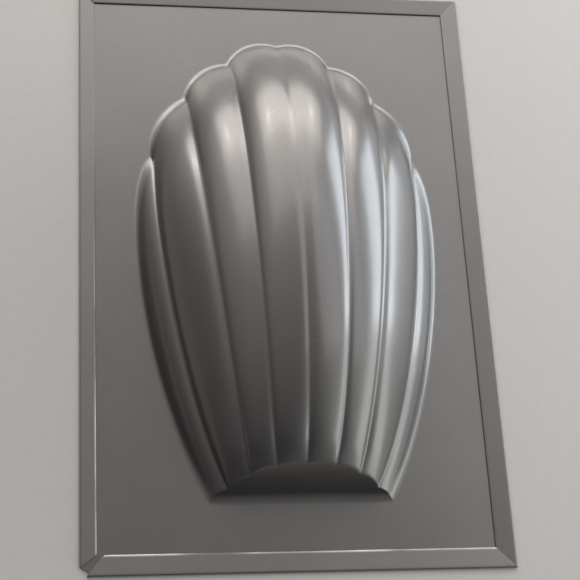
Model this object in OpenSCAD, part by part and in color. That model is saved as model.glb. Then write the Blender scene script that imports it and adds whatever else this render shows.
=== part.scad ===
// Giant madeleine pan, lying face down: the food side of the flat rim plate is on
// z = 0 and the fluted shell rises from it. +Y runs from the narrow tip of the shell
// to its broad end, +X to the right, and the origin is under the middle of the pan.

/* [Plate] */
// Thickness of the steel sheet
sheet_t = 0.6; // [0.4:0.1:1]
// Plate between the left hem and the shell
left_gap = 21; // [8:0.2:40]
// Plate between the shell and the right hem
right_gap = 17; // [8:0.2:40]
// Plate between the front hem and the foot of the shell's flat end
tip_gap = 24.5; // [8:0.5:40]
// Plate between the shell's middle cusp and the back hem
far_gap = 24.1; // [14:0.1:40]

/* [Hems] */
// Width of the folded strip on the left edge
hem_left_w = 7.5; // [6:0.5:11]
// Width of the folded strip on the right edge
hem_right_w = 9.5; // [6:0.5:12]
// Width of the folded strips on the front and back edges
hem_end_w = 9.5; // [6:0.5:12]
// Space left between a folded strip and the plate under it
hem_gap = 0.2; // [0.1:0.05:0.6]
// Space between two strips that meet at a closed mitre
mitre_gap = 0.2; // [0.1:0.05:0.6]
// Open corner: how far the side strip stops short of it along the outer edge
open_side = 4; // [1:0.5:7]
// Open corner: how far the front strip stops short of it along the outer edge
open_front = 3; // [1:0.5:7]
// Open corner: how far the front strip stops short of the side strip's inner corner
open_inner = 3.4; // [0.5:0.1:6]
// Space between the left strip and the back strip
back_gap = 0.9; // [0.1:0.1:2]

/* [Shell] */
// Width of the shell at its broadest, at the foot
shell_w = 144; // [110:0.2:180]
// Length of the shell from the foot of its flat end to the middle cusp
shell_l = 236.4; // [180:0.2:290]
// Height of the middle crease above the plate
shell_h = 49; // [32:0.5:60]
// Width of the flat end at its foot
tip_w = 83; // [60:1:95]
// Height of the flat end
tip_h = 21; // [14:0.5:28]
// Slope of the flat end against the plate, in degrees
tip_angle = 64; // [50:1:80]
// Radius where the shell turns into the plate
foot_r = 2.6; // [1.6:0.1:3]
// Rise of a flute's arch at the flat end, as a share of the width between its creases
flute_tip_share = 0.11; // [0.05:0.01:0.14]
// Rise of a middle flute's arch at the rim, as a share of the width between its creases
flute_rim_share = 0.21; // [0.15:0.01:0.24]
// Further rise of a flute's flat back, as a share of the width between its creases
flute_back_share = 0.025; // [0.01:0.005:0.05]

/* [Hidden] */

coat = "dimgray";
fold = "gray";
bend_out = sheet_t + hem_gap / 2;
bend_in = hem_gap / 2;
hem_h = 2 * bend_out;
round_n = 48;
cut = hem_h;

// Creases: the rim line is crease 0 on the left and 8 on the right, the middle one is 4
flutes = 8;
mid = flutes / 2;
half_w = shell_w / 2;
crown = (8 * shell_h - tip_h) / 6;
pan_w = hem_left_w + left_gap + shell_w + right_gap + hem_right_w;
pan_l = hem_end_w + tip_gap + shell_l + far_gap + hem_end_w;
shell_x = hem_left_w + left_gap + half_w - pan_w / 2;
foot_y = hem_end_w + tip_gap - pan_l / 2;

// How the curves of the creases run, from the middle crease out to the rim line: shares
// of half the tip's width and of its height where they start, of half the shell's width,
// of its length and of the crown's height where they rise and fall, and of half the
// shell's width and of its length where they end at the cusps of the rim
tip_x = [0, 0.32, 0.6, 0.83, 1];
tip_z = [1, 0.95, 0.7, 0.3, 0];
rise_x = [0, 0.29, 0.505, 0.752, 1.045];
rise_y = [0.22, 0.24, 0.235, 0.185, 0.286];
rise_z = [1, 0.91, 0.74, 0.27, 0];
fall_x = [0, 0.328, 0.62, 0.905, 1.085];
fall_y = [0.82, 0.75, 0.655, 0.53, 0.683];
fall_z = [1.04, 0.845, 0.68, 0.29, 0];
cusp_x = [0, 0.352, 0.657, 0.892, 0.892];
cusp_y = [1, 0.953, 0.869, 0.728, 0.728];
// Shares of the rim's arch that each flute has, from the middle pair to the side pair: at
// the rim, and as the pull on the arch halfway along
arch_rim = [1, 0.9, 0.76, 0.48];
arch_mid = [0.29, 0.05, 0.05, 0];
// Shares of the length over which the arches turn from the flat end and onto the plate
tip_blend_share = 0.12;
rim_blend_share = 0.25;
run_out_share = 0.06;

// Facets: strips across a flute, across a side flute and in its corner, up the flat end and
// along the shell
flute_n = 8;
side_n = 9;
corner_n = 3;
tip_n = 5;
run_n = 32;

function unit(p) = p / max(norm(p), 1e-9);
function mix(a, b, s) = a + (b - a) * s;
function ease(s) = let (t = min(max(s, 0), 1)) t * t * (3 - 2 * t);
function outward(p) = unit([-p.y, p.x, 0]);

// A cubic curve through its end points a and d, and its direction
function curve(a, b, c, d, s) =
    pow(1 - s, 3) * a + 3 * pow(1 - s, 2) * s * b + 3 * (1 - s) * s * s * c + pow(s, 3) * d;
function heading(a, b, c, d, s) =
    pow(1 - s, 2) * (b - a) + 2 * (1 - s) * s * (c - b) + s * s * (d - c);

// The four control points of crease i, with its own side's sign
function controls(i) =
    let (j = abs(i - mid), s = i < mid ? -1 : 1, z = tip_h * tip_z[j])
    [[s * tip_w / 2 * tip_x[j], z / tan(tip_angle), z],
     [s * half_w * rise_x[j], shell_l * rise_y[j], crown * rise_z[j]],
     [s * half_w * fall_x[j], shell_l * fall_y[j], crown * fall_z[j]],
     [s * half_w * cusp_x[j], shell_l * cusp_y[j], 0]];
RUNS = [for (i = [0:flutes]) controls(i)];
function crease(i, v) = curve(RUNS[i][0], RUNS[i][1], RUNS[i][2], RUNS[i][3], v);
function crease_heading(i, v) = heading(RUNS[i][0], RUNS[i][1], RUNS[i][2], RUNS[i][3], v);

// A point of flute i: the chord between its creases, raised by a circular arch and a flat
// back. The arch's plane turns from the flat end's own slope to square across the flute,
// and, on all but the two side flutes, down onto the plate at the rim
function is_side(i) = i == 0 || i == flutes - 1;
function flute(i, f, v) =
    let (a = crease(i, v), chord = crease(i + 1, v) - a,
         along = unit(crease_heading(i, v) + crease_heading(i + 1, v)),
         turned = mix([0, sin(tip_angle), -cos(tip_angle)], along, ease(v / tip_blend_share)),
         onto = is_side(i) ? 0 : ease((v - 1 + rim_blend_share) / rim_blend_share),
         n = unit(cross(chord, mix(unit(turned), [0, 0, -1], onto))),
         pair = abs(i - mid + 0.5) - 0.5,
         rise = pow(1 - v, 2) * flute_tip_share
             + flute_rim_share * (2 * v * (1 - v) * arch_mid[pair] + v * v * arch_rim[pair]),
         half_turn = 2 * atan(2 * rise),
         turn = half_turn * (2 * f - 1),
         arch = (cos(turn) - cos(half_turn)) / (2 * sin(half_turn)),
         back = flute_back_share * (1 - pow(2 * f - 1, 8)) * (1 - onto))
    a + chord * (1 + sin(turn) / sin(half_turn)) / 2 + n * norm(chord) * (arch + back);

// Directions in which the foot flares out: at the cusps, along the sides and at the tip
side_knot_share = 0.9;
corner_share = 0.6;
function knot(i) = i == 0 || i == flutes ? crease(i, side_knot_share) : crease(i, 1);
function cusp_out(i) = outward(knot(i + 1) - knot(i - 1));
CUSP_OUT = [for (i = [1:flutes - 1]) cusp_out(i)];
function side_out(i, v) =
    let (s = i < mid ? -1 : 1, t = crease_heading(i < mid ? 0 : flutes, v),
         plain = unit([s * abs(t.y), -s * t.x, 0]),
         end = CUSP_OUT[i < mid ? 0 : flutes - 2],
         start = unit([s * corner_share, -1, 0]))
    unit(mix(mix(start, plain, ease(v / 0.05)), end, ease((v - 0.75) / 0.2)));
function tip_out(share) = unit([corner_share * sign(share) * pow(abs(share), 8), -1, 0]);

// The foot: a point lower than the foot's radius moves out along a round fillet
function flare(p, out) =
    p.z >= foot_r ? p : p + out * (foot_r - sqrt(max(0, foot_r * foot_r - pow(foot_r - p.z, 2))));

// Columns of the grid are [flute, share across it], rows are shares along
COLS = concat(
    [for (k = [0:side_n - 1]) [0, pow(k / side_n, 1.7)]],
    [for (i = [1:flutes - 2]) for (k = [0:flute_n - 1]) [i, k / flute_n]],
    [for (k = [0:side_n]) [flutes - 1, 1 - pow(1 - k / side_n, 1.7)]]);
TIP_ROWS = [for (k = [0:tip_n - 1]) pow(k / tip_n, 2)];
RUN_ROWS = [for (k = [0:run_n]) 1 - pow(1 - k / run_n, 1.9)];
last_c = len(COLS) - 1;
last_r = tip_n + run_n;
lift = [0, 0, sheet_t];

function run_point(c, v) =
    let (i = c[0], p = flute(i, c[1], v),
         out = is_side(i) ? side_out(i, v)
             : unit(mix(CUSP_OUT[i - 1], CUSP_OUT[i], c[1])))
    flare([p.x, p.y, max(p.z, 0)], out) + lift;
function tip_point(c, w) =
    let (top = flute(c[0], c[1], 0), foot = [top.x, 0, 0])
    flare(mix(foot, top, w), tip_out(top.x / (tip_w / 2))) + lift;
OUTER = concat(
    [for (w = TIP_ROWS) [for (c = COLS) tip_point(c, w)]],
    [for (v = RUN_ROWS) [for (c = COLS) run_point(c, v)]]);

// The food side lies one sheet thickness under the outer skin, measured square to it, and
// straight down at the rim, in the corners of the flat end and where the side flutes run out
function is_rim(r, c) = c == 0 || c == last_c || r == 0 || r == last_r;
function run_out(r, c) =
    let (from_side = min(c, last_c - c))
    r <= tip_n ? (from_side <= corner_n ? 1 : 0)
    : from_side > side_n ? 0
    : ease(1 - (1 - RUN_ROWS[r - tip_n]) / run_out_share);
function skin_normal(r, c) =
    is_rim(r, c) ? [0, 0, 1]
    : unit(mix(unit(cross(OUTER[r][c + 1] - OUTER[r][c - 1], OUTER[r + 1][c] - OUTER[r - 1][c])),
               [0, 0, 1], run_out(r, c)));
INNER = [for (r = [0:last_r]) [for (c = [0:last_c]) OUTER[r][c] - sheet_t * skin_normal(r, c)]];

// The grid shrinks to one point at each end of the flat end's foot and at the side cusps
row_n = last_c + 1;
skin_n = row_n * (last_r + 1);
function spot(r, c) =
    let (rr = r < tip_n && (c == 0 || c == last_c) ? tip_n : r,
         cc = r < last_r ? c : min(max(c, side_n), last_c - side_n))
    rr * row_n + cc;
function distinct(t) = t[0] != t[1] && t[1] != t[2] && t[2] != t[0];
SKIN_FACES = [for (r = [0:last_r - 1]) for (c = [0:last_c - 1])
    let (a = spot(r, c), b = spot(r, c + 1), d = spot(r + 1, c), e = spot(r + 1, c + 1))
    for (t = [[a, e, b], [a, d, e]]) if (distinct(t)) t];
RIM = concat(
    [for (c = [1:last_c - 1]) [0, c]],
    [for (r = [tip_n:last_r - 1]) [r, last_c]],
    [for (c = [last_c - side_n:-1:side_n]) [last_r, c]],
    [for (r = [last_r - 1:-1:tip_n]) [r, 0]]);
rim_n = len(RIM);
function rim_spot(k) = let (q = RIM[k % rim_n]) spot(q[0], q[1]);
RIM_FACES = [for (k = [0:rim_n - 1])
    let (a = rim_spot(k), b = rim_spot(k + 1))
    for (t = [[a, b, b + skin_n], [a, b + skin_n, a + skin_n]]) t];
HOLE = [for (q = RIM) let (p = OUTER[q[0]][q[1]]) [p.x, p.y]];

// The fluted shell with its flat end and its rounded foot, one sheet thickness all over
module shell_mould() {
    color(coat)
        translate([shell_x, foot_y, 0])
            polyhedron(
                points = concat([for (row = OUTER) each row], [for (row = INNER) each row]),
                faces = concat(SKIN_FACES,
                    [for (t = SKIN_FACES) [t[0] + skin_n, t[2] + skin_n, t[1] + skin_n]],
                    RIM_FACES));
}

// The flat plate round the shell, up to the lines where the sheet starts to fold over,
// with the front left corner cut off between the two strips
module flat_plate() {
    x = pan_w / 2;
    y = pan_l / 2;
    color(coat)
        linear_extrude(sheet_t)
            difference() {
                polygon([
                    [-x + open_front, -y + bend_out], [x - bend_out, -y + bend_out],
                    [x - bend_out, y - bend_out], [-x + bend_out, y - bend_out],
                    [-x + bend_out, -y + open_side]]);
                translate([shell_x, foot_y])
                    polygon(HOLE);
            }
}

// A hem along +Y with its outer edge on x = 0: the half-round fold and the flat strip.
// Each end is [how far the outer edge stops short, how far the inner edge does]
module hem(length, width, near, far) {
    color(fold)
        intersection() {
            translate([0, length, 0])
                rotate([90, 0, 0])
                    union() {
                        difference() {
                            translate([bend_out, bend_out, 0])
                                cylinder(r = bend_out, h = length, $fn = round_n);
                            translate([bend_out, bend_out, -cut])
                                cylinder(r = bend_in, h = length + 2 * cut, $fn = round_n);
                            translate([bend_out, -cut, -cut])
                                cube([bend_out + cut, hem_h + 2 * cut, length + 2 * cut]);
                        }
                        translate([bend_out, hem_h - sheet_t, 0])
                            cube([width - bend_out, sheet_t, length]);
                    }
            translate([0, 0, -cut])
                linear_extrude(hem_h + 2 * cut)
                    polygon([[0, near[0]], [width, near[1]],
                             [width, length - far[1]], [0, length - far[0]]]);
        }
}

module hem_left() {
    translate([-pan_w / 2, -pan_l / 2, 0])
        hem(pan_l, hem_left_w, [open_side, hem_end_w + 2 * mitre_gap],
            [back_gap, hem_end_w + back_gap]);
}

module hem_right() {
    translate([pan_w / 2, pan_l / 2, 0])
        rotate(180)
            hem(pan_l, hem_right_w, [mitre_gap, hem_end_w + mitre_gap],
                [mitre_gap, hem_end_w + mitre_gap]);
}

module hem_front() {
    translate([pan_w / 2, -pan_l / 2, 0])
        rotate(90)
            hem(pan_w, hem_end_w, [0, hem_right_w], [open_front, hem_left_w + open_inner]);
}

module hem_back() {
    translate([-pan_w / 2, pan_l / 2, 0])
        rotate(-90)
            hem(pan_w, hem_end_w, [0, hem_left_w], [0, hem_right_w]);
}

flat_plate();
shell_mould();
hem_left();
hem_right();
hem_front();
hem_back();
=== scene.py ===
"""The looks of a pan for one large shell-shaped cake, lying face down on a table.

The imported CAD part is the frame. Every node is replaced here by a finer surface in the
same place: the fluted shell with softly rounded creases and foot, the plate round it,
and the four folded edge strips. All sizes are in metres; +Y runs from the shell's flat
end to its broad end, +X to the right, and the pan's food side lies on z = 0.
"""
import math

import bpy
import numpy as np
from mathutils import Matrix, Vector


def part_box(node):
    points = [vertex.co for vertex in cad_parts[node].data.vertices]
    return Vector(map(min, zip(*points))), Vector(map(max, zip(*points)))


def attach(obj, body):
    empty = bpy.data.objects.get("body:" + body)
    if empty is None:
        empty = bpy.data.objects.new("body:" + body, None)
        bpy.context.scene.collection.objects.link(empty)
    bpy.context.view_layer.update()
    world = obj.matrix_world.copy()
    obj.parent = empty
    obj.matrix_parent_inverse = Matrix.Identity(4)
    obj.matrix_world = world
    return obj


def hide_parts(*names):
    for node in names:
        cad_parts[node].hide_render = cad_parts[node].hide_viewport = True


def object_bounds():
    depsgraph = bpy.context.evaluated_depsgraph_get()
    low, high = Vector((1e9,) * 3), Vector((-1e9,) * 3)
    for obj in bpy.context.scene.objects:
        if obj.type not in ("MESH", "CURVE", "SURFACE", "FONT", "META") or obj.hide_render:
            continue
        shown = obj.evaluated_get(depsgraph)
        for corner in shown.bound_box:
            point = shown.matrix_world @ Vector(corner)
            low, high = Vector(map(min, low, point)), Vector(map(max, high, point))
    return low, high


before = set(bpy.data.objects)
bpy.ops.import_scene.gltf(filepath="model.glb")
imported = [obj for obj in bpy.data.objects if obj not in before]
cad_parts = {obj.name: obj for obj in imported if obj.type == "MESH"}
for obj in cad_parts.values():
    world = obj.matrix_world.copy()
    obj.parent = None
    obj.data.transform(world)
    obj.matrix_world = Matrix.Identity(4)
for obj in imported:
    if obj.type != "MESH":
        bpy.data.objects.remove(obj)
cad_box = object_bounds()

# Driving sizes, in metres
SHEET = 0.0006            # steel sheet
SHELL_W = 0.144           # shell at its broadest, at the foot
SHELL_L = 0.2364          # foot of the flat end to the middle cusp
SHELL_H = 0.049           # middle crease above the plate
TIP_W = 0.083             # flat end: width, height and slope
TIP_H = 0.021
TIP_ANGLE = math.radians(64)
FOOT_R = 0.0026           # radius where the shell turns into the plate
HEM_H = 0.0014            # a folded edge: its height, and its fold's two radii
FOLD_OUT = HEM_H / 2
FOLD_IN = FOLD_OUT - SHEET
HEM_LEFT_W = 0.0075       # widths of the folded strips
HEM_RIGHT_W = 0.0095
HEM_END_W = 0.0095
HEM_DROP = 0.00017        # how far a strip leans down towards its raw edge
HEM_LEAN = 0.0011         # further fall that its shading has and its mesh doesn't
MITRE_GAP = 0.0002        # between two strips that meet at a closed mitre
BACK_GAP = 0.0009         # at the back left corner
OPEN_SIDE = 0.004         # open corner: how far the side strip stops short of it
OPEN_FRONT = 0.003        # how far the front strip does, along the outer edge
OPEN_INNER = 0.0034       # and short of the side strip's inner corner

# The plate's and the shell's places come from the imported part
pan_low, pan_high = cad_box
plate_low, plate_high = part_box("flat_plate")
shell_low, shell_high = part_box("shell_mould")
PAN_W = pan_high.x - pan_low.x
PAN_L = pan_high.y - pan_low.y
SHELL_X = (shell_low.x + shell_high.x) / 2
FOOT_Y = shell_low.y + FOOT_R

# Creases of the shell, from the middle one to the rim: shares of half the flat end's
# width and of its height where they start, of the half width, the length and the crown
# where they rise and fall, and of the half width and the length at the rim's cusps
FLUTES = 8
MID = FLUTES // 2
CROWN = (8 * SHELL_H - TIP_H) / 6    # pull that lifts the middle crease to about SHELL_H
TIP_X = np.array([0, 0.32, 0.6, 0.83, 1])
TIP_Z = np.array([1, 0.95, 0.7, 0.3, 0])
RISE_X = np.array([0, 0.290, 0.505, 0.752, 1.045])
RISE_Y = np.array([0.22, 0.24, 0.235, 0.185, 0.286])
RISE_Z = np.array([1, 0.91, 0.74, 0.27, 0])
FALL_X = np.array([0, 0.328, 0.62, 0.905, 1.085])
FALL_Y = np.array([0.82, 0.75, 0.655, 0.53, 0.683])
FALL_Z = np.array([1.04, 0.845, 0.68, 0.29, 0])
CUSP_X = np.array([0, 0.352, 0.657, 0.892, 0.892])
CUSP_Y = np.array([1, 0.953, 0.869, 0.728, 0.728])

# Flutes, from the middle ones to the side ones: rise of the arch as a share of the
# flute's width, and of its flat back besides
ARCH_TIP = 0.11                                        # at the flat end
ARCH_MID = np.array([-0.008, -0.03, -0.05, 0.045])     # halfway, as a curve's pull
ARCH_RIM = np.array([0.21, 0.19, 0.16, 0.03])          # at the rim
FLUTE_BACK = np.array([0.042, 0.042, 0.042, 0.018])
BACK_POWER = 8            # how square the flat back is
TIP_BLEND = 0.12          # shares of the length over which the arches turn from the
RIM_BLEND = 0.25          # flat end, and down onto the plate
RUN_OUT = 0.06            # and over which the side flutes run out at their cusps

# Headings in which the shell's foot flares out
CORNER_SPLAY = 0.6        # sideways share at the flat end's corners, and the power by
SPLAY_POWER = 8           # which it grows from the middle
CORNER_TURN = 0.05        # share of a side flute's length over which it turns from there
CUSP_TURN_FROM = 0.75     # shares from which and over which it turns to the rim's
CUSP_TURN = 0.2
SIDE_KNOT = 0.9           # share at which a side crease counts as the rim's next cusp

# Fineness of the shell's grid
SIDE_N = 34               # strips across a side flute
FLUTE_N = 26              # and across each of the others
CORNER_N = SIDE_N // 3    # strips in a corner of the flat end
TIP_N = 14                # strips up the flat end, round its edge and along the flutes
EDGE_N = 6
RUN_N = 118
SIDE_CROWD = 1.7          # powers by which strips crowd to the sides and to the rim
RIM_CROWD = 1.9
EDGE_UP = 0.055           # share of the flat end, and of the flutes, that its edge takes
EDGE_ALONG = 0.008
FIRST_RUN = TIP_N + EDGE_N
ROWS = FIRST_RUN + RUN_N + 1
COLS = 2 * SIDE_N + (FLUTES - 2) * FLUTE_N + 1


def unit(p):
    """p divided by its length."""
    return p / np.maximum(np.linalg.norm(p, axis=-1, keepdims=True), 1e-12)


def ease(s):
    """A soft step: three squares of s less two cubes, from 0 to 1."""
    s = np.clip(s, 0, 1)
    return s * s * (3 - 2 * s)


def outward(p):
    """The level direction to the left of p."""
    return unit(np.stack([-p[..., 1], p[..., 0], 0 * p[..., 0]], -1))


def whole(faces):
    """The triangles whose three corners are three different points."""
    a, b, c = faces.T
    return faces[(a != b) & (b != c) & (c != a)]


def two_triangles(a, b, c, d):
    """Each four-sided cell a, b, c, d as two triangles that share its diagonal a, c."""
    return np.concatenate([np.stack([a, b, c], -1), np.stack([a, c, d], -1)])


def add_piece(name, points, faces, material, node, slot, crisp, marks=()):
    """A mesh of points and triangles that stands for one node of the part.

    Points that no triangle uses are left out. Edges that turn by more than crisp degrees
    stay sharp. Marks are names and values of numbers kept at the points for the material.
    """
    used, where = np.unique(faces, return_inverse=True)
    points, faces = points[used], where.reshape(faces.shape)
    mesh = bpy.data.meshes.new(name)
    mesh.vertices.add(len(points))
    mesh.vertices.foreach_set("co", points.astype(np.float32).ravel())
    mesh.loops.add(faces.size)
    mesh.loops.foreach_set("vertex_index", faces.astype(np.int32).ravel())
    mesh.polygons.add(len(faces))
    mesh.polygons.foreach_set("loop_start", np.arange(0, faces.size, 3, dtype=np.int32))
    mesh.polygons.foreach_set("use_smooth", np.ones(len(faces), bool))
    mesh.update(calc_edges=True)
    mesh.validate()
    for label, values in marks:
        mark = mesh.attributes.new(label, "FLOAT", "POINT")
        mark.data.foreach_set("value", np.asarray(values)[used].astype(np.float32))
    mesh.set_sharp_from_angle(angle=math.radians(crisp))
    mesh.materials.append(material)
    piece = bpy.data.objects.new(name, mesh)
    bpy.context.scene.collection.objects.link(piece)
    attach(piece, "root")
    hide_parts(node)


# Materials
COAT = (0.135, 0.130, 0.127)
# tone of the painted highlight along the strips' raw edges, and of their ends
BARE_STEEL = (0.62, 0.60, 0.58)
COAT_GLOSS = 0.19         # roughness of the clear layer over the flakes
GRAIN = (1800, 2.0)       # the coat's fine bumps: fineness and detail of their noise,
GRAIN_STRENGTH = 0.12     # and their strength and height
GRAIN_HEIGHT = 0.00004

# Patterns in the coat: fineness of the noise, its detail, and the least and the most it
# gives. Three multiply the tone, one is the roughness, one the patches of a painted
# highlight on the strips' raw edges
FLAKE = (4200, 1.0, 0.96, 1.04)
STREAK = (700, 2.0, 0.99, 1.01)
CLOUD = (26, 3.0, 0.97, 1.03)
ROUGHNESS = (5200, 0.0, 0.26, 0.52)
HIGHLIGHT_PATCH = (30, 2.0, -0.2, 1.0)
NOISE_SPAN = (0.3, 0.7)   # a noise's levels that give the least and the most
NOISE_MIDDLE = 0.5
EVEN = (1, 1, 1)
ROLLED = (1.0, 0.04, 1.0)  # the streaks are drawn out along the sheet

# Hairline scratches in the coat
SCRATCH_ANGLES = (38, -62)
SCRATCH_FINE = 420        # fineness of their noise
SCRATCH_STRETCH = 60      # how many times longer than broad a hairline is
SCRATCH_BAND = 0.006      # breadth of a hairline, in the noise's own level
SCRATCH_GLINT = 0.17      # and how much brighter it is than the coat
SCRATCH_PATCH = (34, 1.0)  # the noise that picks where they are, and its levels that
PATCH_SPAN = (0.56, 0.66)  # give none and all

TABLE_TONES = ((0.42, 0.41, 0.40, 1), (0.46, 0.45, 0.44, 1))
TABLE_FINE = 300
TABLE_ROUGHNESS = 0.55


def node_tree(name):
    """A new material with one shader joined to its output."""
    material = bpy.data.materials.new(name)
    material.use_nodes = True
    tree = material.node_tree
    tree.nodes.clear()
    out = tree.nodes.new("ShaderNodeOutputMaterial")
    shader = tree.nodes.new("ShaderNodeBsdfPrincipled")
    tree.links.new(shader.outputs[0], out.inputs[0])
    return material, tree, shader


def coat_material(name, folded=False):
    """Grey metallic non-stick coat under a clear layer.

    Its tone is the product of fine flake, faint streaks along the rolled sheet, soft
    cloudiness and two sets of hairline scratches. A finer noise is its roughness, and
    small bumps give it grain. On a folded strip a mark kept at the points, times patches
    of noise, mixes in uncoated steel: a painted highlight along the raw edge, and a steel
    tone at the ends. The mark "lean" is a height whose slope tilts the shading.
    """
    material, tree, shader = node_tree(name)
    new, link = tree.nodes.new, tree.links.new
    coords = new("ShaderNodeTexCoord")

    def noise(scale, detail, stretch=EVEN):
        """A noise on the piece's own places, stretched by a Mapping node."""
        mapping = new("ShaderNodeMapping")
        mapping.inputs["Scale"].default_value = stretch
        link(coords.outputs["Object"], mapping.inputs["Vector"])
        node = new("ShaderNodeTexNoise")
        node.inputs["Scale"].default_value = scale
        node.inputs["Detail"].default_value = detail
        link(mapping.outputs[0], node.inputs["Vector"])
        return node.outputs["Fac"]

    def spread(value, span, low, high):
        """The straight line that takes the levels of span to low and high."""
        node = new("ShaderNodeMapRange")
        link(value, node.inputs["Value"])
        node.inputs["From Min"].default_value = span[0]
        node.inputs["From Max"].default_value = span[1]
        node.inputs["To Min"].default_value = low
        node.inputs["To Max"].default_value = high
        return node.outputs[0]

    def pattern(scale, detail, low, high, stretch=EVEN):
        """A noise spread from low to high."""
        return spread(noise(scale, detail, stretch), NOISE_SPAN, low, high)

    def combined(operation, a, b):
        """Two values put together by a Math node."""
        node = new("ShaderNodeMath")
        node.operation = operation
        link(a, node.inputs[0])
        link(b, node.inputs[1])
        return node.outputs[0]

    def times(a, b):
        """The product of two values."""
        return combined("MULTIPLY", a, b)

    def mark(label):
        """The number that add_piece has kept at the points under this name."""
        node = new("ShaderNodeAttribute")
        node.attribute_name = label
        return node.outputs["Fac"]

    def hairlines(angle):
        """Long thin marks in one direction, where a stretched noise crosses its middle,
        kept only in the patches that a broad noise picks: glint to the power 0 or 1."""
        mapping = new("ShaderNodeMapping")
        mapping.vector_type = "TEXTURE"
        mapping.inputs["Rotation"].default_value = (0, 0, math.radians(angle))
        mapping.inputs["Scale"].default_value = (1, SCRATCH_STRETCH, 1)
        link(coords.outputs["Object"], mapping.inputs["Vector"])
        node = new("ShaderNodeTexNoise")
        node.inputs["Scale"].default_value = SCRATCH_FINE
        link(mapping.outputs[0], node.inputs["Vector"])
        crossing = new("ShaderNodeMath")
        crossing.operation = "COMPARE"
        link(node.outputs["Fac"], crossing.inputs[0])
        crossing.inputs[1].default_value = NOISE_MIDDLE
        crossing.inputs[2].default_value = SCRATCH_BAND
        glint = spread(noise(*SCRATCH_PATCH), PATCH_SPAN, 1.0, 1.0 + SCRATCH_GLINT)
        return combined("POWER", glint, crossing.outputs[0])

    tone = times(pattern(*FLAKE), pattern(*STREAK, stretch=ROLLED))
    tone = times(tone, pattern(*CLOUD))
    tone = times(tone, times(*(hairlines(angle) for angle in SCRATCH_ANGLES)))
    tint = new("ShaderNodeMix")
    tint.data_type = "RGBA"
    tint.blend_type = "MULTIPLY"
    tint.inputs["Factor"].default_value = 1
    tint.inputs["A"].default_value = (*COAT, 1)
    link(tone, tint.inputs["B"])
    shader.inputs["Metallic"].default_value = 1.0
    link(pattern(*ROUGHNESS), shader.inputs["Roughness"])
    shader.inputs["Coat Weight"].default_value = 1.0
    shader.inputs["Coat Roughness"].default_value = COAT_GLOSS
    bump = new("ShaderNodeBump")
    bump.inputs["Strength"].default_value = GRAIN_STRENGTH
    bump.inputs["Distance"].default_value = GRAIN_HEIGHT
    link(noise(*GRAIN), bump.inputs["Height"])
    link(bump.outputs[0], shader.inputs["Normal"])
    if not folded:
        link(tint.outputs["Result"], shader.inputs["Base Color"])
        return material

    # steel mixed in by a mark: painted highlight on the raw edges, steel tone at the ends
    highlight_mix = new("ShaderNodeMix")
    highlight_mix.data_type = "RGBA"
    link(times(mark("steel_highlight"), pattern(*HIGHLIGHT_PATCH)), highlight_mix.inputs["Factor"])
    link(tint.outputs["Result"], highlight_mix.inputs["A"])
    highlight_mix.inputs["B"].default_value = (*BARE_STEEL, 1)
    link(highlight_mix.outputs["Result"], shader.inputs["Base Color"])
    slope = new("ShaderNodeBump")
    slope.inputs["Strength"].default_value = 1.0
    slope.inputs["Distance"].default_value = 1.0
    link(mark("lean"), slope.inputs["Height"])
    link(slope.outputs[0], bump.inputs["Normal"])
    return material


def table_material():
    """A matt pale surface with a barely visible fine mottle between two tones."""
    material, tree, shader = node_tree("pale_table")
    new, link = tree.nodes.new, tree.links.new
    coords = new("ShaderNodeTexCoord")
    noise = new("ShaderNodeTexNoise")
    noise.inputs["Scale"].default_value = TABLE_FINE
    link(coords.outputs["Object"], noise.inputs["Vector"])
    ramp = new("ShaderNodeValToRGB")
    for stop, tone in zip(ramp.color_ramp.elements, TABLE_TONES):
        stop.color = tone
    link(noise.outputs["Fac"], ramp.inputs["Fac"])
    link(ramp.outputs[0], shader.inputs["Base Color"])
    shader.inputs["Roughness"].default_value = TABLE_ROUGHNESS
    return material


# The shell
def crease_controls():
    """Four control points for each of the nine creases, left rim to right rim."""
    i = np.arange(FLUTES + 1)
    j, side = np.abs(i - MID), np.sign(i - MID)
    z = TIP_H * TIP_Z[j]
    half = SHELL_W / 2
    start = np.stack([side * TIP_W / 2 * TIP_X[j], z / math.tan(TIP_ANGLE), z], -1)
    rise = np.stack([side * half * RISE_X[j], SHELL_L * RISE_Y[j], CROWN * RISE_Z[j]], -1)
    fall = np.stack([side * half * FALL_X[j], SHELL_L * FALL_Y[j], CROWN * FALL_Z[j]], -1)
    cusp = np.stack([side * half * CUSP_X[j], SHELL_L * CUSP_Y[j], 0 * z], -1)
    return np.stack([start, rise, fall, cusp], 1)


def crease_points(controls, v):
    """Cubic curves through the first and last control points, at the shares v."""
    a, b, c, d = (controls[:, k, None] for k in range(4))
    v = v[None, :, None]
    return (1 - v) ** 3 * a + 3 * (1 - v) ** 2 * v * b + 3 * (1 - v) * v * v * c + v ** 3 * d


def crease_headings(controls, v):
    """The directions of the same curves, a third of their slopes."""
    a, b, c, d = (controls[:, k, None] for k in range(4))
    v = v[None, :, None]
    return (1 - v) ** 2 * (b - a) + 2 * (1 - v) * v * (c - b) + v * v * (d - c)


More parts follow.
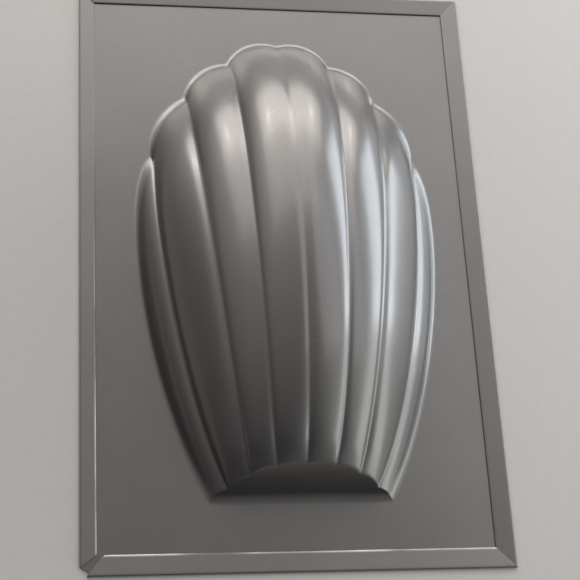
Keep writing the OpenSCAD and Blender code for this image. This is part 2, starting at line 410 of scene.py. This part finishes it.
def flute_points(controls, flute, share, v):
    """Points of the flutes: the chord between two creases, a circular arch on it and a
    flat back on that.

    The arch rises from the chord by a share of it that follows a parabola along the
    flute. Its plane turns from the flat end's slope to square across the flute, and at
    the rim it leans down until it lies on the plate, except in the two side flutes.
    """
    run, head = crease_points(controls, v), crease_headings(controls, v)
    a = run[flute]
    chord = run[flute + 1] - a
    along = unit(head[flute] + head[flute + 1])
    end_face = np.array([0, math.sin(TIP_ANGLE), -math.cos(TIP_ANGLE)])
    w = ease(v / TIP_BLEND)[None, :, None]
    across = unit(end_face * (1 - w) + along * w)
    inner = ((flute > 0) & (flute < FLUTES - 1))[:, None, None]
    w = inner * ease((v - 1 + RIM_BLEND) / RIM_BLEND)[None, :, None]
    normal = unit(np.cross(chord, across * (1 - w) + np.array([0, 0, -1]) * w))
    pair = np.abs(flute - MID + 0.5).astype(int)[:, None]
    rise = (1 - v) ** 2 * ARCH_TIP + 2 * v * (1 - v) * ARCH_MID[pair] + v * v * ARCH_RIM[pair]
    half_turn = 2 * np.arctan(2 * rise)
    turn = half_turn * (2 * share[:, None] - 1)
    shift = (1 + np.sin(turn) / np.sin(half_turn)) / 2
    height = (np.cos(turn) - np.cos(half_turn)) / (2 * np.sin(half_turn))
    back = FLUTE_BACK[pair] * (1 - (2 * share[:, None] - 1) ** BACK_POWER)
    height = height + back * (1 - w[..., 0])
    length = np.linalg.norm(chord, axis=-1)
    return a + chord * shift[..., None] + normal * (height * length)[..., None]


def grid_columns():
    """The flute of each of the grid's columns, and the column's share across it. In the
    side flutes the shares crowd outwards by a power."""
    side = np.arange(SIDE_N + 1) / SIDE_N
    flute = np.concatenate([np.zeros(SIDE_N, int),
                            np.repeat(np.arange(1, FLUTES - 1), FLUTE_N),
                            np.full(SIDE_N + 1, FLUTES - 1)])
    share = np.concatenate([side[:-1] ** SIDE_CROWD,
                            np.tile(np.arange(FLUTE_N) / FLUTE_N, FLUTES - 2),
                            1 - (1 - side) ** SIDE_CROWD])
    return flute, share


def run_headings(controls, flute, share, v):
    """Level directions in which the foot flares out along the flutes.

    On the rim a cusp's is square to the line between the cusps on both sides of it, and
    they mix straight across a flute. In the side flutes it turns from the flat end's
    corner to square to the side crease, and then to the rim's.
    """
    knots = np.concatenate([crease_points(controls[:1], np.array([SIDE_KNOT]))[:, 0],
                            controls[1:-1, 3],
                            crease_points(controls[-1:], np.array([SIDE_KNOT]))[:, 0]])
    cusp_out = outward(knots[2:] - knots[:-2])
    inner = np.clip(flute, 1, FLUTES - 2)
    mix = np.where(flute == 0, 0, np.where(flute == FLUTES - 1, 1, share))[:, None]
    rim_out = unit(cusp_out[inner - 1] * (1 - mix) + cusp_out[inner] * mix)[:, None]
    sign = np.where(flute < MID, -1.0, 1.0)[:, None]
    head = crease_headings(controls[[0, -1]], v)[(flute >= MID).astype(int)]
    square = unit(np.stack([sign * np.abs(head[..., 1]), -sign * head[..., 0],
                            0 * head[..., 0]], -1))
    corner = unit(np.stack([CORNER_SPLAY * sign, -1 + 0 * sign, 0 * sign], -1))
    w = ease(v / CORNER_TURN)[None, :, None]
    side_out = corner * (1 - w) + square * w
    w = ease((v - CUSP_TURN_FROM) / CUSP_TURN)[None, :, None]
    side_out = unit(side_out * (1 - w) + rim_out * w)
    is_side = ((flute == 0) | (flute == FLUTES - 1))[:, None, None]
    return np.where(is_side, side_out, rim_out)


def flare(p, out):
    """Below the foot's radius a point moves outwards along a quarter circle."""
    low = np.maximum(FOOT_R - p[..., 2:], 0)
    return p + out * (FOOT_R - np.sqrt(np.maximum(FOOT_R ** 2 - low ** 2, 0)))


def shell_grid():
    """The shell's outer skin as a grid, rows along it and columns across, and the rows'
    shares of the flutes' length.

    Rows climb the flat end by a cosine, go round its edge on a parabola and run along the
    flutes to the rim, where a power crowds them. At its foot the skin flares out. A
    one-two-one mean across the columns rounds the creases.
    """
    controls = crease_controls()
    flute, share = grid_columns()
    up = (1 - np.cos(np.pi * np.arange(TIP_N + 1) / TIP_N)) / 2 * (1 - EDGE_UP)
    up = up[None, :, None]
    t = (np.arange(1, EDGE_N) / EDGE_N)[None, :, None]
    v = EDGE_ALONG + (1 - EDGE_ALONG) * (1 - (1 - np.arange(RUN_N + 1) / RUN_N) ** RIM_CROWD)

    run = flute_points(controls, flute, share, v)
    run[..., 2] = np.maximum(run[..., 2], 0)
    top = flute_points(controls, flute, share, np.array([0.0]))
    foot = top * np.array([1, 0, 0])
    face = foot * (1 - up) + top * up
    bend = (1 - t) ** 2 * face[:, -1:] + 2 * t * (1 - t) * top + t * t * run[:, :1]

    s = top[:, :, 0] / (TIP_W / 2)
    splay = CORNER_SPLAY * np.sign(s) * np.abs(s) ** SPLAY_POWER
    face_out = unit(np.stack([splay, -1 + 0 * s, 0 * s], -1))
    run_out = run_headings(controls, flute, share, v)
    bend_out = unit(face_out * (1 - t) + run_out[:, :1] * t)
    grid = np.concatenate([flare(face, face_out), flare(bend, bend_out),
                           flare(run, run_out)], 1)
    grid[1:-1] = (grid[:-2] + 2 * grid[1:-1] + grid[2:]) / 4
    grid += np.array([SHELL_X, FOOT_Y, SHEET])
    return grid.transpose(1, 0, 2), v


def shell_spot(r, c):
    """Number of a grid point; the grid shrinks to one point at each end of the flat
    end's foot and at the two side cusps."""
    row = np.where((r < FIRST_RUN) & ((c == 0) | (c == COLS - 1)), FIRST_RUN, r)
    col = np.where(r < ROWS - 1, c, np.clip(c, SIDE_N, COLS - 1 - SIDE_N))
    return row * COLS + col


def shell_normals(grid, run_shares):
    """Square to the skin inside it, by the cross product of its two differences, and
    straight up at the rim, in the flat end's corners and where the side flutes run out."""
    across = np.zeros_like(grid)
    along = np.zeros_like(grid)
    across[:, 1:-1] = grid[:, 2:] - grid[:, :-2]
    along[1:-1] = grid[2:] - grid[:-2]
    normal = unit(np.cross(across, along))
    from_side = np.minimum(np.arange(COLS), COLS - 1 - np.arange(COLS))[None, :]
    running_out = ease(1 - (1 - run_shares[:, None]) / RUN_OUT) * (from_side <= SIDE_N)
    up = np.zeros((ROWS, COLS))
    up[:FIRST_RUN + 1] = from_side <= CORNER_N
    up[FIRST_RUN:] = np.maximum(up[FIRST_RUN:], running_out)
    up[0] = up[-1] = 1
    up[:, 0] = up[:, -1] = 1
    vertical = np.array([0, 0, 1.0])
    return unit(normal * (1 - up[..., None]) + vertical * up[..., None])


def rim_loop():
    """Rows and columns of the grid points round the shell's foot, anticlockwise seen from
    above: the flat end's foot, the right side, the rim and the left side."""
    r = np.concatenate([np.zeros(COLS - 2, int), np.arange(FIRST_RUN, ROWS - 1),
                        np.full(COLS - 2 * SIDE_N, ROWS - 1),
                        np.arange(ROWS - 2, FIRST_RUN - 1, -1)])
    c = np.concatenate([np.arange(1, COLS - 1), np.full(ROWS - 1 - FIRST_RUN, COLS - 1),
                        np.arange(COLS - 1 - SIDE_N, SIDE_N - 1, -1),
                        np.zeros(ROWS - 1 - FIRST_RUN, int)])
    return r, c


def shell_mesh(grid, run_shares):
    """The outer skin, the food side one sheet inside it, and a wall round the rim."""
    food_side = grid - SHEET * shell_normals(grid, run_shares)
    food_side[..., 2] = np.maximum(food_side[..., 2], pan_low.z)
    r, c = np.meshgrid(np.arange(ROWS - 1), np.arange(COLS - 1), indexing="ij")
    skin = whole(two_triangles(shell_spot(r, c), shell_spot(r, c + 1), shell_spot(r + 1, c + 1),
                               shell_spot(r + 1, c)).reshape(-1, 3))
    below = ROWS * COLS
    rim = shell_spot(*rim_loop())
    ahead = np.roll(rim, -1)
    wall = two_triangles(rim, rim + below, ahead + below, ahead)
    points = np.concatenate([grid.reshape(-1, 3), food_side.reshape(-1, 3)])
    return points, np.concatenate([skin, skin[:, ::-1] + below, wall])


# The plate
PLATE_BANDS = 10          # rings of faces between the shell and the plate's edge
PLATE_CROWD = 1.3         # power by which they crowd to the shell


def plate_ring(grid):
    """The plate's hole, and points of its edge, one for each point of the hole, seen from
    the hole's middle in the same direction; the nearest one moves into each corner."""
    hole = grid[rim_loop()][:, :2]
    centre = hole.mean(0)
    out = hole - centre
    x0, y0 = plate_low.x, plate_low.y
    x1, y1 = plate_high.x, plate_high.y
    cut = np.array([[pan_low.x + OPEN_FRONT, y0], [x0, pan_low.y + OPEN_SIDE]])
    with np.errstate(divide="ignore"):
        reach = np.minimum(
            np.where(out[:, 0] > 0, x1 - centre[0], x0 - centre[0]) / out[:, 0],
            np.where(out[:, 1] > 0, y1 - centre[1], y0 - centre[1]) / out[:, 1])
    normal = np.array([cut[1, 1] - cut[0, 1], cut[0, 0] - cut[1, 0]])
    facing = out @ normal
    across = np.where(np.abs(facing) > 1e-9, ((cut[0] - centre) @ normal) / facing, np.inf)
    reach = np.where((across > 0) & (across < reach), across, reach)
    edge = centre + out * reach[:, None]
    for corner in np.array([[x1, y0], [x1, y1], [x0, y1], *cut]):
        edge[np.argmin(np.linalg.norm(edge - corner, axis=1))] = corner
    return hole, edge


def plate_mesh(grid):
    """Rings of faces from the shell's foot to the edge, each ring a mix of the two
    outlines, on top and below, with a wall round the hole and one round the edge."""
    hole, edge = plate_ring(grid)
    share = (np.arange(PLATE_BANDS + 1) / PLATE_BANDS)[:, None, None] ** PLATE_CROWD
    ring = hole[None] * (1 - share) + edge[None] * share
    count = len(hole)
    below = (PLATE_BANDS + 1) * count
    top = np.concatenate([ring, np.full(ring.shape[:2] + (1,), SHEET)], -1)
    low = top * np.array([1, 1, 0])
    b, k = np.meshgrid(np.arange(PLATE_BANDS), np.arange(count), indexing="ij")
    a, c = b * count + k, b * count + (k + 1) % count
    skin = two_triangles(a, a + count, c + count, c).reshape(-1, 3)
    k = np.arange(count)
    ahead = (k + 1) % count
    inner = two_triangles(k, ahead, ahead + below, k + below)
    k, ahead = k + PLATE_BANDS * count, ahead + PLATE_BANDS * count
    outer = two_triangles(k, k + below, ahead + below, ahead)
    points = np.concatenate([top.reshape(-1, 3), low.reshape(-1, 3)])
    return points, np.concatenate([skin, skin[:, ::-1] + below, inner, outer])


# The folded edges
FOLD_N = 14               # steps round the fold, over the flap and round its raw edge
FLAP_N = 10
RAW_N = 8
HEM_STEP = 0.004          # length of a step along a strip
END_RING = 0.00025        # and of the first and the last one
HEM_WAVE = 0.00003        # how far a strip waves up and down along it
WAVE_TURNS = (37, 83)     # radians per metre of the two waves
SHORT_WAVE = 0.6          # height of the short wave, as a share of the long one's
RAW_SHARE = 0.55          # share of the sheet, from the raw edge, that takes the painted highlight
END_STEEL_TONE = 0.7            # steel tone on both ends of a strip
HIGHLIGHT_UNTIL = 0.35         # share of a strip's length from which a partial painted highlight fades, and over which it does
HIGHLIGHT_FADE = 0.25          # fades, and over which it does


def hem_profile(width):
    """Outline of a folded strip, from the outer edge inwards and up: round the fold, over
    the flap, round its raw edge, back under the flap and round the inside of the fold."""
    fold = np.pi * np.arange(FOLD_N + 1) / FOLD_N
    flap = np.arange(1, FLAP_N) / FLAP_N
    raw = np.pi * np.arange(RAW_N + 1) / RAW_N
    half = SHEET / 2
    end = width - half
    reach = end - FOLD_OUT
    outside = np.stack([FOLD_OUT - FOLD_OUT * np.sin(fold),
                        FOLD_OUT - FOLD_OUT * np.cos(fold)], -1)
    over = np.stack([FOLD_OUT + reach * flap, HEM_H + 0 * flap], -1)
    tip = np.stack([end + half * np.sin(raw), HEM_H - half + half * np.cos(raw)], -1)
    under = np.stack([end - reach * flap, HEM_H - SHEET + 0 * flap], -1)
    inside = np.stack([FOLD_OUT - FOLD_IN * np.sin(fold),
                       FOLD_OUT + FOLD_IN * np.cos(fold)], -1)
    return np.concatenate([outside, over, tip, under, inside])


def hem_marks(u, z, run, length, width, edge_highlight):
    """What the coat's material reads at a strip's points.

    The first mark is a painted highlight of uncoated steel on the upper part of the raw
    edge, as strong as the strip's given share, and a steel tone on both ends. Where that
    share is under 1, the highlight fades along the strip by a soft step. "lean" falls
    straight from the outer edge to the raw one, on the flap only.
    """
    raw_edge = (u > width - SHEET * RAW_SHARE) & (z > HEM_H - SHEET / 2 - 1e-9)
    fade = ease((run / length - HIGHLIGHT_UNTIL) / HIGHLIGHT_FADE) * (edge_highlight < 1)
    steel_highlight = np.broadcast_to(raw_edge, run.shape) * edge_highlight * (1 - fade)
    steel_highlight[0] = steel_highlight[-1] = END_STEEL_TONE
    lean = np.broadcast_to(-HEM_LEAN * np.clip(u / width, 0, 1) * (z > FOLD_OUT), run.shape)
    return ("steel_highlight", steel_highlight.ravel()), ("lean", lean.ravel())


def hem_mesh(length, width, near, far, corner, along, inwards, phase, edge_highlight):
    """The profile carried along an edge, capped at both ends, and its marks.

    The ends run straight from their setback at the outer edge to the one at the inner
    edge. The flap leans down by HEM_DROP at its raw edge, and waves by two sines.
    """
    profile = hem_profile(width)
    steps = int(length / HEM_STEP)
    share = np.arange(steps + 1) / steps
    thin = END_RING / length
    share = np.concatenate([[0, thin], share[1:-1], [1 - thin, 1]])[:, None]
    steps = len(share) - 1
    u, z = profile[None, :, 0], profile[None, :, 1]
    start = near[0] + (near[1] - near[0]) * u / width
    stop = length - far[0] - (far[1] - far[0]) * u / width
    run = start + (stop - start) * share
    down = np.clip((u - FOLD_OUT) / (width - FOLD_OUT), 0, 1) * (z > FOLD_OUT)
    wave = (np.sin(run * WAVE_TURNS[0] + phase)
            + SHORT_WAVE * np.sin(run * WAVE_TURNS[1] + 2 * phase))
    height = z - down * (HEM_DROP + HEM_WAVE * (wave - (1 + SHORT_WAVE)))
    points = (np.asarray(corner)[None, None] + run[..., None] * np.asarray(along)
              + u[..., None] * np.asarray(inwards) + height[..., None] * np.array([0, 0, 1.0]))

    count = profile.shape[0]
    r, k = np.meshgrid(np.arange(steps), np.arange(count), indexing="ij")
    a, b = r * count + k, r * count + (k + 1) % count
    skin = two_triangles(a, b, b + count, a + count).reshape(-1, 3)
    i = np.arange(count // 2)
    pair = count - 1 - i
    cap = whole(np.concatenate([np.stack([i, pair, i + 1], -1),
                                np.stack([i + 1, pair, pair - 1], -1)]))
    faces = np.concatenate([skin, cap, cap[:, ::-1] + steps * count])
    if np.dot(np.cross(along, inwards), (0, 0, 1)) > 0:
        faces = faces[:, ::-1]
    return points.reshape(-1, 3), faces, hem_marks(u, z, run, length, width, edge_highlight)


# Name, length, width, setbacks at the near and the far end, corner, the directions along
# it and inwards, phase of the waves, and strength of the painted highlight on the raw edge
HEMS = (
    ("left", PAN_L, HEM_LEFT_W,
     (OPEN_SIDE, HEM_END_W + 2 * MITRE_GAP), (BACK_GAP, HEM_END_W + BACK_GAP),
     (pan_low.x, pan_low.y, 0), (0, 1, 0), (1, 0, 0), 0.4, 0.9),
    ("right", PAN_L, HEM_RIGHT_W,
     (MITRE_GAP, HEM_END_W + MITRE_GAP), (MITRE_GAP, HEM_END_W + MITRE_GAP),
     (pan_high.x, pan_low.y, 0), (0, 1, 0), (-1, 0, 0), 1.9, 0.0),
    ("front", PAN_W, HEM_END_W,
     (OPEN_FRONT, HEM_LEFT_W + OPEN_INNER), (0, HEM_RIGHT_W),
     (pan_low.x, pan_low.y, 0), (1, 0, 0), (0, 1, 0), 3.1, 1.0),
    ("back", PAN_W, HEM_END_W,
     (0, HEM_LEFT_W), (0, HEM_RIGHT_W),
     (pan_low.x, pan_high.y, 0), (1, 0, 0), (0, -1, 0), 4.6, 0.0),
)


def add_pan():
    """The shell, the plate and the four folded edges, each with its own coat."""
    shell_coat = coat_material("grey_coat_shell")
    plate_coat = coat_material("grey_coat_plate")
    hem_coat = coat_material("grey_coat_hem", folded=True)
    grid, run_shares = shell_grid()
    add_piece("shell", *shell_mesh(grid, run_shares), shell_coat, "shell_mould", "shell_coat",
              crisp=65)
    add_piece("plate", *plate_mesh(grid), plate_coat, "flat_plate", "plate_coat", crisp=40)
    for side, *sizes in HEMS:
        points, faces, marks = hem_mesh(*sizes)
        add_piece("folded_edge_" + side, points, faces, hem_coat, "hem_" + side, "hem_coat",
                  crisp=50, marks=marks)


# Table, camera and lamps
HALF_TABLE = 3.0
TABLE_GAP = 0.0001        # the table's top below the pan
EYE = Vector((-0.11284, -0.28715, 0.66228))
AIM = Vector((0.00120, -0.01503, 0.0))
ROLL = math.radians(-3.257)
LENS = 93.197             # focal length and sensor, in millimetres
SENSOR = 36

# Name, compass and height of the direction in degrees, distance, breadth and height, how
# bright the face is, and colour
LAMPS = (
    ("window", 65, 11, 0.62, (0.46, 0.30), 4.2, (0.86, 0.93, 1.0)),
    ("right_wall", 108, 15, 0.62, (0.68, 0.28), 1.45, (0.97, 1.0, 0.99)),
    ("ceiling_far", -4, 43, 1.25, (1.40, 0.75), 1.24, (1.0, 0.97, 0.94)),
    ("ceiling_right", 68, 54, 1.10, (0.85, 0.62), 0.80, (0.98, 0.99, 1.0)),
    ("far_wall", 2, 23, 0.80, (0.98, 0.32), 2.6, (1.0, 0.96, 0.92)),
    ("far_lamp_left", -21, 25, 2.2, (0.15, 0.12), 15.0, (1.0, 0.93, 0.80)),
    ("far_lamp_right", 25, 21, 2.2, (0.15, 0.12), 14.0, (1.0, 0.93, 0.80)),
)

# The room: a dim base, and soft glows with their compass and height, half width, strength
# and colour
ROOM_BASE = (0.045, 0.043, 0.046)
GLOWS = (
    ((5, 22), 30, 0.75, (1.0, 0.96, 0.92)),        # far wall
    ((45, 15), 24, 0.36, (0.97, 0.98, 1.0)),       # far right wall
    ((112, 13), 34, 1.05, (0.97, 1.0, 0.99)),      # right wall
    ((15, 70), 42, 0.23, (1.0, 0.96, 0.93)),       # ceiling
    ((-32, 18), 22, 0.80, (1.0, 0.96, 0.92)),      # far left wall
    ((-75, 48), 34, 0.36, (1.0, 0.96, 0.94)),      # left wall
)


def add_table():
    """A plain square floor just under the pan."""
    mesh = bpy.data.meshes.new("table")
    h = HALF_TABLE
    mesh.from_pydata([(-h, -h, 0), (h, -h, 0), (h, h, 0), (-h, h, 0)], [], [(0, 1, 2, 3)])
    mesh.materials.append(table_material())
    table = bpy.data.objects.new("table", mesh)
    table.location.z = pan_low.z - TABLE_GAP
    bpy.context.scene.collection.objects.link(table)


def add_camera():
    """The camera looks from EYE to AIM, its upper side turned by ROLL from +Y."""
    data = bpy.data.cameras.new("camera")
    data.lens = LENS
    data.sensor_width = SENSOR
    camera = bpy.data.objects.new("camera", data)
    bpy.context.scene.collection.objects.link(camera)
    back = (EYE - AIM).normalized()
    level = Vector((0, 1, 0)).cross(back).normalized()
    right = (level * math.cos(ROLL) + back.cross(level) * math.sin(ROLL)).normalized()
    turn = Matrix((right, back.cross(right), back)).transposed()
    camera.matrix_world = Matrix.Translation(EYE) @ turn.to_4x4()
    bpy.context.scene.camera = camera


def toward(compass, height):
    """Unit direction from the pan: compass in degrees from the far side to the right,
    height in degrees above the table."""
    c, h = math.radians(compass), math.radians(height)
    return Vector((math.sin(c) * math.cos(h), math.cos(c) * math.cos(h), math.sin(h)))


def add_lamp(name, compass, height, distance, size, radiance, colour):
    """A soft rectangular lamp aimed at the middle of the pan. Its power is its face's
    area times pi times how bright the face is."""
    direction = toward(compass, height)
    data = bpy.data.lights.new(name, "AREA")
    data.shape = "RECTANGLE"
    data.size, data.size_y = size
    data.energy = radiance * math.pi * size[0] * size[1]
    data.color = colour
    lamp = bpy.data.objects.new(name, data)
    lamp.location = direction * distance
    lamp.rotation_euler = direction.to_track_quat("Z", "Y").to_euler()
    lamp.visible_camera = False
    bpy.context.scene.collection.objects.link(lamp)


def add_room():
    """The world: a dim base and soft glows, each falling off from its middle as a bell
    of the angle to it, which is at half its strength at its half width."""
    world = bpy.data.worlds.new("room")
    bpy.context.scene.world = world
    world.use_nodes = True
    tree = world.node_tree
    new, link = tree.nodes.new, tree.links.new
    coords = new("ShaderNodeTexCoord")
    base = new("ShaderNodeRGB")
    base.outputs[0].default_value = (*ROOM_BASE, 1)
    light = base.outputs[0]
    for where, half_width, strength, colour in GLOWS:
        dot = new("ShaderNodeVectorMath")
        dot.operation = "DOT_PRODUCT"
        link(coords.outputs["Generated"], dot.inputs[0])
        dot.inputs[1].default_value = toward(*where)
        fall = math.log(2) / (1 - math.cos(math.radians(half_width)))
        power = new("ShaderNodeMath")
        power.operation = "MULTIPLY_ADD"
        link(dot.outputs["Value"], power.inputs[0])
        power.inputs[1].default_value = fall
        power.inputs[2].default_value = math.log(strength) - fall
        bell = new("ShaderNodeMath")
        bell.operation = "EXPONENT"
        link(power.outputs[0], bell.inputs[0])
        tint = new("ShaderNodeVectorMath")
        tint.operation = "SCALE"
        tint.inputs[0].default_value = colour
        link(bell.outputs[0], tint.inputs["Scale"])
        total = new("ShaderNodeVectorMath")
        total.operation = "ADD"
        link(light, total.inputs[0])
        link(tint.outputs[0], total.inputs[1])
        light = total.outputs[0]
    link(light, tree.nodes["Background"].inputs["Color"])


add_pan()
add_table()
add_camera()
for lamp in LAMPS:
    add_lamp(*lamp)
add_room()

bpy.context.scene.view_settings.view_transform = "Standard"
